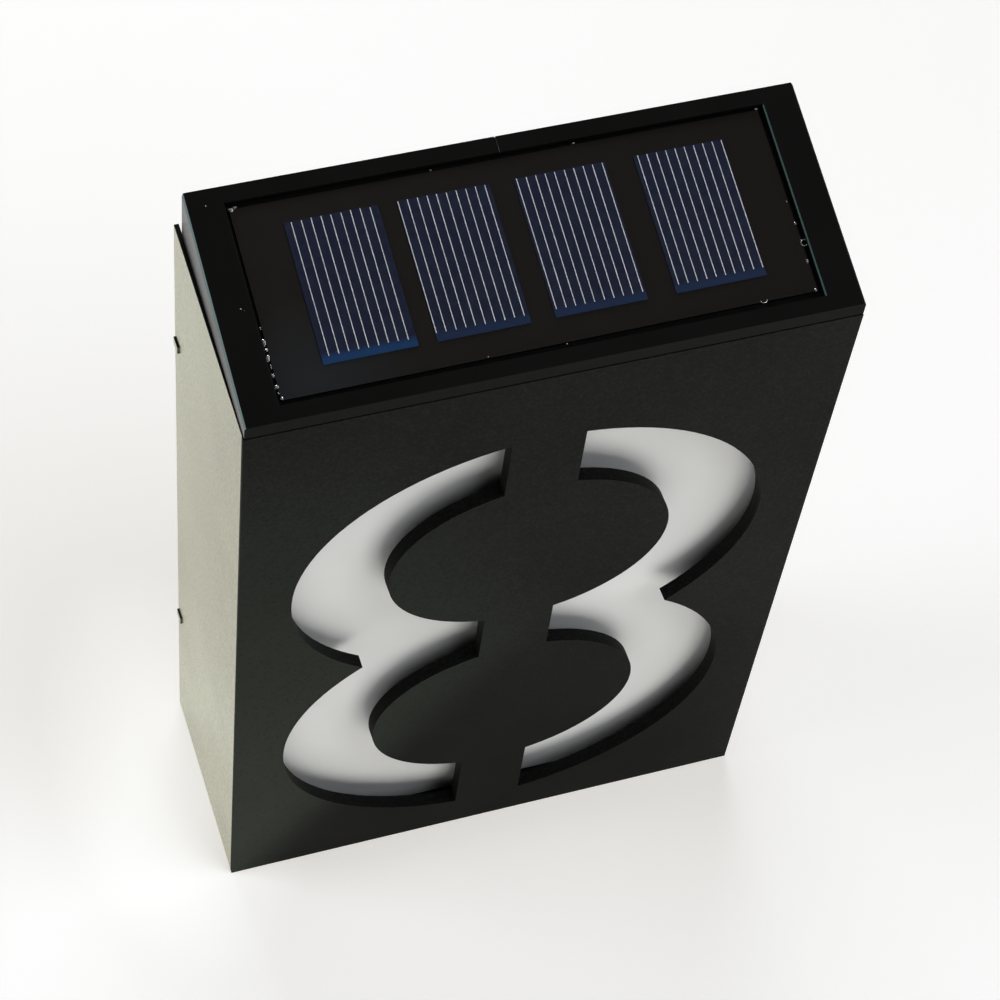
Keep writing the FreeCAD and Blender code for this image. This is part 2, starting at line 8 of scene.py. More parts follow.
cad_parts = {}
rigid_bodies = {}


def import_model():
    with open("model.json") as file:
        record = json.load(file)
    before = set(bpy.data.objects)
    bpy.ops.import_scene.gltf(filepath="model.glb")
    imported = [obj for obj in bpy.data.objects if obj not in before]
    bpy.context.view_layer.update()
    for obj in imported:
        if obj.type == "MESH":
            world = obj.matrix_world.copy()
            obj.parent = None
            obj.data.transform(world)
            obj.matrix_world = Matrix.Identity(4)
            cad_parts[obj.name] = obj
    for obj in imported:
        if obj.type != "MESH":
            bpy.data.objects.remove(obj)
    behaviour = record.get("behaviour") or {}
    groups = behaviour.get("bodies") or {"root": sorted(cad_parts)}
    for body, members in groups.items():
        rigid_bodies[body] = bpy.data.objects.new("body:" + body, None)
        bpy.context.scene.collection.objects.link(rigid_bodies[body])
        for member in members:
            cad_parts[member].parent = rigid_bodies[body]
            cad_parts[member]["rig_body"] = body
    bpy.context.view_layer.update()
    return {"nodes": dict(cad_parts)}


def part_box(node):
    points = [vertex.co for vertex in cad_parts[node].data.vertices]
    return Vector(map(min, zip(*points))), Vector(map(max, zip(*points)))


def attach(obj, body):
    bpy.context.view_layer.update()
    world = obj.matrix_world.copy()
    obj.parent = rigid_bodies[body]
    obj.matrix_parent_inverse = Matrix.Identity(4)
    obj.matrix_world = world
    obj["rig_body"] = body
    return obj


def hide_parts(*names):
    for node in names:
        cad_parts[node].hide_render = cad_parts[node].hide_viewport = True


# A solar house number sign: black powder-coated sheet round an opal diffuser, with the numeral 8
# cut out of the front, and a wedge-shaped lid that holds the solar panel. Metres, in the part's frame.
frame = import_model()
nodes = frame["nodes"]
MM = 0.001


# ---------------------------------------------------------------- places read from the frame
front_low, front_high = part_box("front_panel")
lid_low, lid_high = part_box("lid_frame")
board_low, board_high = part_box("solar_panel_board")
cell_boxes = [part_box("solar_cell_%d" % (i + 1)) for i in range(4)]


# the lid's top slopes up from its front edge, which is 4 mm above the front panel
LID_FRONT = front_high.z + 4 * MM
SLOPE = math.atan2(lid_high.z - LID_FRONT, lid_high.y - lid_low.y)
SLOPE_FOOT = Vector((0, lid_low.y, LID_FRONT))


def on_slope(points):
    """Carry flat points, with Y from the lid's front edge and Z off its top, on to the slope."""
    turn = np.array(Matrix.Rotation(SLOPE, 3, "X"))
    return np.asarray(points) @ turn.T + np.array(SLOPE_FOOT)


def flat(node):
    """A node's points in the slope's own flat coordinates."""
    points = np.array([v.co for v in nodes[node].data.vertices])
    turn = np.array(Matrix.Rotation(SLOPE, 3, "X"))
    return (points - np.array(SLOPE_FOOT)) @ turn


panel_flat = flat("solar_panel_board")
panel_middle = (panel_flat.min(0) + panel_flat.max(0)) / 2
panel_top = panel_flat[:, 2].max()


# ---------------------------------------------------------------- colours and nodes
def linear(code):
    """An sRGB hex colour as linear RGBA."""
    values = np.array([int(code[i:i + 2], 16) / 255 for i in (0, 2, 4)])
    values = np.where(values <= 0.04045, values / 12.92, ((values + 0.055) / 1.055) ** 2.4)
    return (*values, 1.0)


def add(tree, kind, inputs=None, **settings):
    """Add a node. Settings are its own attributes; inputs are socket values or sockets to link."""
    node = tree.nodes.new(kind)
    for name, value in settings.items():
        setattr(node, name, value)
    for name, value in (inputs or {}).items():
        if isinstance(value, bpy.types.NodeSocket):
            tree.links.new(value, node.inputs[name])
        else:
            node.inputs[name].default_value = value
    return node


def material(name):
    """An empty node material with its output; returns the tree and the output node."""
    made = bpy.data.materials.new(name)
    made.use_nodes = True
    made.node_tree.nodes.clear()
    return made.node_tree, add(made.node_tree, "ShaderNodeOutputMaterial")


def finished(tree, output, shader):
    tree.links.new(shader, output.inputs["Surface"])
    return next(m for m in bpy.data.materials if m.node_tree == tree)


def object_noise(tree, size, detail=2.0, roughness=0.5):
    """Noise on object coordinates whose blotches are about size metres across."""
    place = add(tree, "ShaderNodeTexCoord").outputs["Object"]
    return add(tree, "ShaderNodeTexNoise", {
        "Vector": place, "Scale": 1 / size, "Detail": detail, "Roughness": roughness})


def ramp(tree, value, low, high, out_low, out_high):
    """Carry a value from one range to another, clamped."""
    return add(tree, "ShaderNodeMapRange", {
        "Value": value, "From Min": low, "From Max": high,
        "To Min": out_low, "To Max": out_high}).outputs["Result"]


def mix(tree, share, first, second):
    """Mix two colours, given as hex or as sockets."""
    node = add(tree, "ShaderNodeMix", data_type="RGBA")
    for socket, value in ((node.inputs["Factor"], share), (node.inputs[6], first), (node.inputs[7], second)):
        if isinstance(value, bpy.types.NodeSocket):
            tree.links.new(value, socket)
        else:
            socket.default_value = linear(value) if isinstance(value, str) else value
    return node.outputs[2]


def bump(tree, height, depth, strength=1.0):
    return add(tree, "ShaderNodeBump", {
        "Height": height, "Distance": depth, "Strength": strength}).outputs["Normal"]


def distance(tree, place, middle):
    """How far a place is from a fixed point."""
    return add(tree, "ShaderNodeVectorMath", {0: place, 1: middle}, operation="DISTANCE").outputs["Value"]


def specks(tree, spacing, size, share):
    """1 inside sparse round specks: the near middles of Voronoi cells, kept in a share of the cells."""
    place = add(tree, "ShaderNodeTexCoord").outputs["Object"]
    cells = add(tree, "ShaderNodeTexVoronoi", {"Vector": place, "Scale": 1 / spacing})
    near = ramp(tree, cells.outputs["Distance"], 0.7 * size / spacing, size / spacing, 1, 0)
    chance = add(tree, "ShaderNodeSeparateColor", {"Color": cells.outputs["Color"]}).outputs["Red"]
    kept = add(tree, "ShaderNodeMath", {0: chance, 1: share}, operation="LESS_THAN").outputs["Value"]
    return add(tree, "ShaderNodeMath", {0: near, 1: kept}, operation="MULTIPLY").outputs["Value"]


# ---------------------------------------------------------------- materials
# painted reflection colour: a yellowish tint under the coat warms the satin sides' reflections, standing in
# for warm surroundings
PAINTED_WARM_REFLECTION_TINT = "ffffd0"
# painted light: a lighter colour in the front's lower left corner stands in for light falling there; painted
# shade darkens the front round the middle of its foot
PAINTED_LIGHT_REACH = 200 * MM                   # from the lower left front corner
PAINTED_LIGHT_SLANT = (-1.3, 0, 1)               # square to the line at which the painted light ends
PAINTED_LIGHT_END = PAINTED_LIGHT_SLANT[0] * front_low.x  # where that line lies, measured along the slant
PAINTED_SHADE_MIDDLE = (-5 * MM, front_low.y, front_low.z)
PAINTED_SHADE_INNER, PAINTED_SHADE_OUTER, PAINTED_SHADE = 45 * MM, 115 * MM, 0.75


def black_powder_coat(name, first, second, level, roughness, dust, peel=0.012 * MM, coat=0.0, painted_light=None):
    """Powder coat on sheet steel: two near-blacks in soft clouds under a fine orange-peel grain, drawn
    a little coarser than the real 0.3 mm so that it shows, with a few grains of dust. Where a colour
    for painted light is given, it is painted in the lower left front corner as light, fades sooner
    sideways than up, and ends at a slanting line beside the foot. Painted shade then darkens the
    coat round the middle of the foot."""
    tree, output = material(name)
    grain = object_noise(tree, 0.8 * MM, detail=3, roughness=0.7).outputs["Fac"]
    cloud = object_noise(tree, 35 * MM, detail=2).outputs["Fac"]
    base = mix(tree, ramp(tree, cloud, 0.35, 0.65, 0, 1), first, second)
    # painted light, mixed in towards the lower left front corner
    if painted_light:
        place = add(tree, "ShaderNodeTexCoord").outputs["Object"]
        narrow = add(tree, "ShaderNodeMapping", {"Vector": place, "Scale": (2, 1, 1)}).outputs["Vector"]
        corner = (2 * front_low.x, front_low.y, front_low.z)
        share = ramp(tree, distance(tree, narrow, corner), 0, PAINTED_LIGHT_REACH, 1, 0)
        slant = add(tree, "ShaderNodeVectorMath", {0: place, 1: PAINTED_LIGHT_SLANT}, operation="DOT_PRODUCT")
        along = slant.outputs["Value"]
        base = mix(tree, ramp(tree, along, PAINTED_LIGHT_END - 20 * MM, PAINTED_LIGHT_END, 0, share), base, painted_light)
    base = mix(tree, ramp(tree, grain, 0.35, 0.5, 0.4, 0), base, "040504")
    base = mix(tree, ramp(tree, grain, 0.5, 0.7, 0, 0.55), base, "232521")
    base = mix(tree, specks(tree, 7 * MM, 0.22 * MM, dust), base, "8c8c84")
    # painted shade round the middle of the foot
    if painted_light:
        painted_shade = ramp(tree, distance(tree, place, PAINTED_SHADE_MIDDLE), PAINTED_SHADE_INNER, PAINTED_SHADE_OUTER, PAINTED_SHADE, 0)
        painted_shade = ramp(tree, along, PAINTED_LIGHT_END - 20 * MM, PAINTED_LIGHT_END + 15 * MM, painted_shade, 0)
        base = mix(tree, painted_shade, base, "000000")
    uneven = bump(tree, grain, peel, 0.6)
    shader = add(tree, "ShaderNodeBsdfPrincipled", {
        "Base Color": base, "Roughness": ramp(tree, cloud, 0.3, 0.7, roughness - 0.04, roughness + 0.04),
        "Specular IOR Level": level, "Coat Weight": ramp(tree, grain, 0.35, 0.65, 0.6 * coat, 1.4 * coat),
        "Coat Roughness": 0.15, "Coat Tint": linear(PAINTED_WARM_REFLECTION_TINT),
        "Normal": uneven, "Coat Normal": uneven})
    return finished(tree, output, shader.outputs["BSDF"])


def moulded_plastic(name, first, second, level, roughness, dust=0.0, painted_reflection_tint="ffffff"):
    """Injection-moulded ABS with a fine spark-eroded texture; a tint, where given, is painted reflection
    colour.
    """
    tree, output = material(name)
    grain = object_noise(tree, 0.3 * MM, detail=2).outputs["Fac"]
    cloud = object_noise(tree, 20 * MM).outputs["Fac"]
    base = mix(tree, ramp(tree, cloud, 0.3, 0.7, 0, 0.5), first, second)
    if dust:
        base = mix(tree, specks(tree, 6 * MM, 0.2 * MM, dust), base, "8f9494")
    shader = add(tree, "ShaderNodeBsdfPrincipled", {
        "Base Color": base, "Roughness": ramp(tree, cloud, 0.3, 0.7, roughness - 0.03, roughness + 0.05),
        "Specular IOR Level": level, "Specular Tint": linear(painted_reflection_tint),
        "Normal": bump(tree, grain, 0.008 * MM, 0.5)})
    return finished(tree, output, shader.outputs["BSDF"])


def opal_acrylic():
    """Opal cast acrylic: milky white, evenly diffusing, with a soft satin face."""
    tree, output = material("opal_acrylic")
    cloud = object_noise(tree, 25 * MM).outputs["Fac"]
    grain = object_noise(tree, 0.4 * MM, detail=2).outputs["Fac"]
    base = mix(tree, ramp(tree, cloud, 0.35, 0.65, 0, 1), "e4e4e3", "e1e1e0")
    shader = add(tree, "ShaderNodeBsdfPrincipled", {
        "Base Color": base, "Roughness": ramp(tree, grain, 0.3, 0.7, 0.4, 0.46), "IOR": 1.49,
        "Specular IOR Level": 0.25, "Normal": bump(tree, grain, 0.004 * MM, 0.4)})
    return finished(tree, output, shader.outputs["BSDF"])


def white_sheet():
    """White polyester-coated reflector sheet."""
    tree, output = material("white_coated_sheet")
    cloud = object_noise(tree, 18 * MM).outputs["Fac"]
    base = mix(tree, ramp(tree, cloud, 0.3, 0.7, 0, 1), "e8e8e4", "dededa")
    shader = add(tree, "ShaderNodeBsdfPrincipled", {"Base Color": base, "Roughness": 0.5})
    return finished(tree, output, shader.outputs["BSDF"])


def plain(name, first, second, blotch, roughness, metallic=0.0, grain_depth=0.006 * MM, level=0.5):
    """A simple finish: two close colours in soft blotches, with a fine surface grain."""
    tree, output = material(name)
    cloud = object_noise(tree, blotch).outputs["Fac"]
    grain = object_noise(tree, blotch / 8, detail=3).outputs["Fac"]
    base = mix(tree, ramp(tree, cloud, 0.35, 0.65, 0, 1), first, second)
    shader = add(tree, "ShaderNodeBsdfPrincipled", {
        "Base Color": base, "Metallic": metallic, "Specular IOR Level": level,
        "Roughness": ramp(tree, grain, 0.3, 0.7, max(roughness - 0.08, 0.02), roughness + 0.08),
        "Normal": bump(tree, grain, grain_depth, 0.5)})
    return finished(tree, output, shader.outputs["BSDF"])


def panel_backing():
    """Brown-black backing film under clear resin, redder to the right, with a painted bluish reflection in
    the left front corner, and painted black as shade, without gloss, on the panel's cut edges below its top."""
    tree, output = material("panel_backing_under_resin")
    place = add(tree, "ShaderNodeTexCoord").outputs["Object"]
    cloud = object_noise(tree, 9 * MM, detail=4).outputs["Fac"]
    base = mix(tree, ramp(tree, cloud, 0.3, 0.7, 0, 1), "1c1a18", "211e1b")
    x = add(tree, "ShaderNodeSeparateXYZ", {"Vector": place}).outputs["X"]
    base = mix(tree, ramp(tree, x, board_low.x, board_high.x, 0, 1), base, "1b1716")
    # painted reflection: the left front corner is mixed towards a bluish grey
    corner = (board_low.x + 8 * MM, board_low.y, board_low.z)
    base = mix(tree, ramp(tree, distance(tree, place, corner), 4 * MM, 24 * MM, 0.8, 0), base, "25282b")
    base = mix(tree, specks(tree, 5 * MM, 0.24 * MM, 0.12), base, "6a6058")
    upwards = (0, -math.sin(SLOPE), math.cos(SLOPE))
    height = add(tree, "ShaderNodeVectorMath", {0: place, 1: upwards}, operation="DOT_PRODUCT")
    top = Vector(upwards).dot(SLOPE_FOOT) + panel_top
    # painted shade: below the top, the cut edges are black and without gloss
    face = ramp(tree, height.outputs["Value"], top - 0.15 * MM, top - 0.05 * MM, 0, 1)
    base = mix(tree, face, "050505", base)
    shader = add(tree, "ShaderNodeBsdfPrincipled", {
        "Base Color": base, "Roughness": 0.3, "Specular IOR Level": ramp(tree, face, 0, 1, 0, 0.4),
        "Coat Weight": ramp(tree, face, 0, 1, 0, 0.5), "Coat Roughness": 0.08})
    return finished(tree, output, shader.outputs["BSDF"])


def silicon(index, painted_sheen):
    """Dark blue polycrystalline silicon: angular grains a millimetre or two across, barely
    different in tone, and a painted sheen: a brighter blue band along the front edge, where no finger runs."""
    tree, output = material("blue_silicon_%d" % (index + 1))
    place = add(tree, "ShaderNodeTexCoord").outputs["Object"]
    crystals = add(tree, "ShaderNodeTexVoronoi", {"Vector": place, "Scale": 1 / (1.3 * MM)})
    tone = add(tree, "ShaderNodeSeparateColor", {"Color": crystals.outputs["Color"]}).outputs["Red"]
    fine = object_noise(tree, 0.35 * MM, detail=2).outputs["Fac"]
    base = mix(tree, tone, "171d30", "1e2537")
    base = mix(tree, ramp(tree, fine, 0.4, 0.8, 0, 0.35), base, "2e2b3c")
    y = add(tree, "ShaderNodeSeparateXYZ", {"Vector": place}).outputs["Y"]
    low, high = cell_boxes[index]
    # painted sheen along the cell's front edge
    band = ramp(tree, y, low.y + 1.2 * MM, low.y + 2.6 * MM, 1, 0)
    base = mix(tree, band, base, painted_sheen)
    shader = add(tree, "ShaderNodeBsdfPrincipled", {
        "Base Color": base, "Roughness": 0.32, "Specular IOR Level": 0.4,
        "Coat Weight": 0.5, "Coat Roughness": 0.08})
    return finished(tree, output, shader.outputs["BSDF"])


def clear_resin():
    """Set clear epoxy: glassy, faintly milky."""
    tree, output = material("clear_resin")
    cloud = object_noise(tree, 0.8 * MM).outputs["Fac"]
    base = mix(tree, ramp(tree, cloud, 0.3, 0.7, 0, 1), "c9cfd2", "e6ebec")
    shader = add(tree, "ShaderNodeBsdfPrincipled", {
        "Base Color": base, "Roughness": 0.12, "IOR": 1.5, "Transmission Weight": 0.75})
    return finished(tree, output, shader.outputs["BSDF"])


def green_board():
    """Glass-epoxy board under green solder mask, with copper tracks that show through."""
    tree, output = material("green_solder_mask")
    place = add(tree, "ShaderNodeTexCoord").outputs["Object"]
    lanes = add(tree, "ShaderNodeTexBrick", {
        "Vector": place, "Scale": 1 / (9 * MM), "Mortar Size": 0.035, "Color1": linear("1d5a36"),
        "Color2": linear("1f6039"), "Mortar": linear("3f8a4e")})
    shader = add(tree, "ShaderNodeBsdfPrincipled", {
        "Base Color": lanes.outputs["Color"], "Roughness": 0.32,
        "Normal": bump(tree, lanes.outputs["Fac"], 0.03 * MM, 0.6)})
    return finished(tree, output, shader.outputs["BSDF"])


def white_board():
    """White solder mask on the light strip, with silvered pads beside the lamps."""
    tree, output = material("white_solder_mask")
    place = add(tree, "ShaderNodeTexCoord").outputs["Object"]
    lanes = add(tree, "ShaderNodeTexBrick", {
        "Vector": place, "Scale": 1 / (14 * MM), "Mortar Size": 0.02, "Color1": linear("e6e6e0"),
        "Color2": linear("e2e2dc"), "Mortar": linear("c9c6b8")})
    shader = add(tree, "ShaderNodeBsdfPrincipled", {"Base Color": lanes.outputs["Color"], "Roughness": 0.4})
    return finished(tree, output, shader.outputs["BSDF"])


def battery_sleeve():
    """Printed PVC sleeve on the cell: dark green, with a silver band at the plus end."""
    tree, output = material("battery_sleeve")
    place = add(tree, "ShaderNodeTexCoord").outputs["Object"]
    x = add(tree, "ShaderNodeSeparateXYZ", {"Vector": place}).outputs["X"]
    low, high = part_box("battery")
    band = add(tree, "ShaderNodeMath", {0: x, 1: high.x - 12 * MM}, operation="GREATER_THAN")
    base = mix(tree, band.outputs["Value"], "1d6b3c", "c9ccce")
    grain = object_noise(tree, 0.5 * MM).outputs["Fac"]
    shader = add(tree, "ShaderNodeBsdfPrincipled", {
        "Base Color": base, "Roughness": 0.28, "Normal": bump(tree, grain, 0.004 * MM, 0.3)})
    return finished(tree, output, shader.outputs["BSDF"])


finishes = {
    # the front's corner colour is painted light, and its foot gets painted shade
    "front": black_powder_coat("matt_black_powder_coat", "121411", "111210", 0.04, 0.5, 0.02, painted_light="31362f"),
    "sides": black_powder_coat("satin_black_powder_coat", "1a1c19", "1c1e1a", 1.0, 0.2, 0.03,
                               peel=0.04 * MM, coat=0.6),
    # partly painted shade: this near-black is also set dark for the shaded walls of the numeral's cuts
    "liner": black_powder_coat("black_liner_sheet", "0b0c0b", "0d0e0d", 0.04, 0.6, 0.0),
    "lid": moulded_plastic("black_abs_lid", "0e0e0d", "121211", 0.05, 0.5, 0.05),
    "lid_front": moulded_plastic("grained_abs_front", "0c0e0c", "10120f", 0.04, 0.5),
    "lid_sides": moulded_plastic("satin_abs_side", "141413", "181817", 0.3, 0.3),
    # painted reflection colour: the cyan tints on the arrises' reflections stand in for the colour of the
    # light they catch
    "arris": moulded_plastic("polished_abs_arris", "141617", "18191a", 0.4, 0.15, painted_reflection_tint="d8ffff"),
    "recess_arris": moulded_plastic("worn_abs_arris", "101213", "121415", 0.2, 0.2, painted_reflection_tint="c8ffff"),
    # painted highlight: the seam's wall in the rear rail is pale, standing for a light line along it
    "seam": plain("pale_moulding_seam", "8c9698", "98a2a4", 1 * MM, 0.5),
    # painted shade: the recess's walls and floor are near-black, darker than the lid's plastic
    "recess": plain("black_recess_wall", "050505", "080808", 4 * MM, 0.7, level=0.02),
    "cover": moulded_plastic("black_abs_cover", "18181a", "1b1b1c", 0.3, 0.5),
    "opal": opal_acrylic(),
    "white": white_sheet(),
    "foam": plain("black_foam", "030303", "070707", 1.5 * MM, 0.9, grain_depth=0.1 * MM, level=0.05),
    "steel": plain("zinc_plated_steel", "b9bcc0", "a4a8ae", 2 * MM, 0.32, metallic=1.0),
    "nickel": plain("nickel_plated_spring_steel", "c4c2ba", "b2b0a8", 2 * MM, 0.25, metallic=1.0),
    "backing": panel_backing(),
    "sealant": plain("black_silicone_sealant", "060606", "0b0b0c", 1.2 * MM, 0.4, grain_depth=0.08 * MM,
                     level=0.2),
    "resin": clear_resin(),
    "silver": plain("printed_silver_paste", "d8dadd", "bfc2c6", 1 * MM, 0.55),
    "board": green_board(),
    "strip": white_board(),
    "chip": plain("black_epoxy_package", "161616", "1e1e1e", 0.8 * MM, 0.6),
    "copper": plain("enamelled_copper_wire", "b4622c", "9a4f22", 0.8 * MM, 0.3, metallic=1.0),
    "capacitor": plain("capacitor_sleeve", "1b2238", "222b45", 3 * MM, 0.35),
    "knob": plain("black_nylon_knob", "111111", "191919", 1 * MM, 0.5),
    "lens": plain("warm_white_lens", "e9e2c4", "efe9d2", 2 * MM, 0.15),
    "red": plain("red_pvc_insulation", "a3231b", "8e1d17", 3 * MM, 0.4),
    "black": plain("black_pvc_insulation", "141414", "1c1c1c", 3 * MM, 0.4),
    "sleeve": battery_sleeve(),
}
node_finish = {
    "front_panel": "front", "stencil_liner": "liner",
    "left_side_panel": "sides", "right_side_panel": "sides", "base_panel": "sides",
    "back_plate": "sides", "rear_cleat_left": "cover", "rear_cleat_right": "cover",
    "back_screws": "steel", "opal_diffuser": "opal", "diffuser_clips": "cover", "white_reflector": "white",
    "lid_rest_left": "cover", "lid_rest_right": "cover", "lid_seal": "foam",
    "diffuser_spacer_left": "liner", "diffuser_spacer_right": "liner", "diffuser_spacer_bottom": "liner",
    "diffuser_spacer_top": "liner", "lid_frame": "lid", "solar_panel_board": "backing",
    "panel_sealant": "sealant", "module_cover": "cover", "module_screws": "steel", "battery_cradle": "cover",
    "battery_contact": "nickel", "battery_spring": "nickel",
    "control_board": "board", "board_pillars": "cover",
    "charge_chip": "chip", "boost_coil": "copper", "capacitor": "capacitor", "switch_body": "cover",
    "switch_knob": "knob", "led_board": "strip", "leds": "lens", "led_screws": "steel",
    "panel_lead_plus": "red", "panel_lead_minus": "black", "battery_lead_plus": "red",
    "battery_lead_minus": "black", "led_lead_plus": "red", "led_lead_minus": "black", "battery": "sleeve",
}
# painted sheen colours for the cells' front bands, strongest on the first cell
cell_painted_sheens = ("183860", "1d2b46", "1d2b46", "1d2b46")
for name, node in nodes.items():
    if name.startswith("solar_cell"):
        index = int(name[-1]) - 1
        chosen = silicon(index, cell_painted_sheens[index])
    else:
        chosen = finishes[node_finish[name]]
    node.data.materials.clear()
    node.data.materials.append(chosen)


# ---------------------------------------------------------------- meshes worked out with numpy
def quads(rows, columns, wrap_rows=False, wrap_columns=False):
    """Quads between neighbours on a grid of points numbered row by row."""
    r = np.arange(rows if wrap_rows else rows - 1)[:, None]
    c = np.arange(columns if wrap_columns else columns - 1)[None, :]
    r2, c2 = (r + 1) % rows, (c + 1) % columns
    corners = [r * columns + c, r * columns + c2, r2 * columns + c2, r2 * columns + c]
    return np.stack([k + 0 * (r + c) for k in corners], axis=-1).reshape(-1, 4)


def repeated(points, faces, offsets):
    """The same small surface at many places, as one mesh."""
    offsets = np.asarray(offsets)
    many = (points[None, :, :] + offsets[:, None, :]).reshape(-1, 3)
    starts = (np.arange(len(offsets)) * len(points))[:, None, None]
    return many, (faces[None, :, :] + starts).reshape(-1, faces.shape[1])


def piece(name, points, faces, body, finish, smooth=True, replaces=()):
    """Make the mesh object of a new piece, give it its finish and let it ride on its body."""
    mesh = bpy.data.meshes.new(name)
    mesh.from_pydata(np.asarray(points).tolist(), [], np.asarray(faces).tolist())
    mesh.polygons.foreach_set("use_smooth", [smooth] * len(mesh.polygons))
    mesh.materials.append(finish)
    made = bpy.data.objects.new(name, mesh)
    bpy.context.scene.collection.objects.link(made)
    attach(made, body)
    if replaces:
        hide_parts(*replaces)
    return made


def lathe(profile, columns=48):
    """Surface of revolution about Z: each profile point (radius, height) turned through a circle."""
    profile = np.asarray(profile)
    angle = np.linspace(0, 2 * np.pi, columns, endpoint=False)
    radius, height = profile[:, :1], profile[:, 1:]
    points = np.stack([radius * np.cos(angle), radius * np.sin(angle), height + 0 * angle], axis=-1)
    return points.reshape(-1, 3), quads(len(profile), columns, wrap_columns=True)


def tube(path, radius, columns=12):
    """A circle of the given radius carried along a path, square to it."""
    path = np.asarray(path)
    along = np.gradient(path, axis=0)
    along /= np.linalg.norm(along, axis=1, keepdims=True)
    side = np.cross(along, (0.0, 0.13, 0.99))
    side /= np.linalg.norm(side, axis=1, keepdims=True)
    up = np.cross(side, along)
    angle = np.linspace(0, 2 * np.pi, columns, endpoint=False)[None, :, None]
    ring = path[:, None] + radius * (np.cos(angle) * side[:, None] + np.sin(angle) * up[:, None])
    return ring.reshape(-1, 3), quads(len(path), columns, wrap_columns=True)


def joined(*surfaces):
    """Several surfaces as one."""
    counts = np.cumsum([0] + [len(points) for points, faces in surfaces])
    points = np.concatenate([points for points, faces in surfaces])
    return points, np.concatenate([faces + start for (_, faces), start in zip(surfaces, counts)])


def turned(surface, to, place=(0, 0, 0)):
    """Turn a surface so that its Z axis points along a direction, and set it at a place."""
    points, faces = surface
    turn = np.array(Vector(to).to_track_quat("Z", "Y").to_matrix())
    return points @ turn.T + np.array(place), faces


def rounded(node, width, finish, other=None, chosen=None):
    """A copy of a sheet or moulding whose sharp edges have a small radius, in place of the node. The
    large faces lead the shading, so that they stay flat. Faces that a test on their middles and
    directions chooses have the other finishes, numbered from 1."""
    mesh = nodes[node].data.copy()
    made = bpy.data.objects.new(node + "_edged", mesh)
    bpy.context.scene.collection.objects.link(made)
    shape = bmesh.new()
    shape.from_mesh(mesh)
    bmesh.ops.remove_doubles(shape, verts=shape.verts, dist=1e-6)
    bmesh.ops.dissolve_limit(shape, angle_limit=FLAT_ENOUGH, verts=shape.verts, edges=shape.edges)
    bmesh.ops.recalc_face_normals(shape, faces=shape.faces)
    shape.to_mesh(mesh)
    shape.free()
    mesh.materials.clear()
    for one in (finish, *(other or ())):
        mesh.materials.append(one)
    if chosen:
        middles, ways = np.empty((2, len(mesh.polygons), 3))
        mesh.polygons.foreach_get("center", middles.ravel())
        mesh.polygons.foreach_get("normal", ways.ravel())
        mesh.polygons.foreach_set("material_index", chosen(middles, ways).astype(np.int32))
    mesh.polygons.foreach_set("use_smooth", [True] * len(mesh.polygons))
    bevel = made.modifiers.new("edge_radius", "BEVEL")
    bevel.width = width
    bevel.segments = 2
    bevel.limit_method = "ANGLE"
    bevel.angle_limit = math.radians(30)
    made.modifiers.new("flat_faces", "WEIGHTED_NORMAL").weight = 90
    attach(made, nodes[node]["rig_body"])
    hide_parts(node)


# ---------------------------------------------------------------- solar panel's details
PANEL_SKEW = math.radians(0.25)
FLAT_ENOUGH = math.radians(0.02)
FINGER_WIDTH = 0.21 * MM
FINGER_HEIGHT = 0.04 * MM
FINGER_PITCH = 2.262 * MM
FINGER_STOP = 1.9 * MM          # the fingers end this far short of the cell's front edge
# first finger from the cell's left edge, and how many there are
finger_rows = ((1.74 * MM, 9), (0.2 * MM, 10), (0.63 * MM, 10), (1.0 * MM, 10))


def skewed(points):
    """Turn flat points by the angle that the panel lies askew."""
    turn = np.array(Matrix.Rotation(PANEL_SKEW, 3, "Z"))
    return (points - panel_middle) @ turn.T + panel_middle


def cell_fingers(index):
    """Printed silver lines: a flat-topped ridge repeated across the cell, wandering a hair."""
    points = flat("solar_cell_%d" % (index + 1))
    upright = (points - panel_middle) @ np.array(Matrix.Rotation(PANEL_SKEW, 3, "Z")) + panel_middle
    low, high = upright.min(0), upright.max(0)
    first, count = finger_rows[index]
    chance = np.random.default_rng(41 + index)
    steps = 24
    along = np.linspace(low[1] + FINGER_STOP, high[1] - 0.15 * MM, steps)
    across = np.array([-0.5, -0.36, 0.36, 0.5]) * FINGER_WIDTH
    height = np.array([0.0, 1.0, 1.0, 0.0]) * FINGER_HEIGHT
    ridge = np.stack(np.broadcast_arrays(across[None, :], along[:, None], height[None, :]), axis=-1)
    ridge = ridge.reshape(-1, 3)
    places = np.zeros((count, 3))
    places[:, 0] = low[0] + first + FINGER_PITCH * np.arange(count) + chance.normal(0, 0.03 * MM, count)
    places[:, 2] = high[2]
    places[:, 1] = chance.normal(0, 0.08 * MM, count)
    made, faces = repeated(ridge, quads(steps, 4), places)
    piece("cell_fingers_%d" % (index + 1), on_slope(skewed(made)), faces, "lid",
          finishes["silver"], smooth=False)


for index in range(4):
    cell_fingers(index)


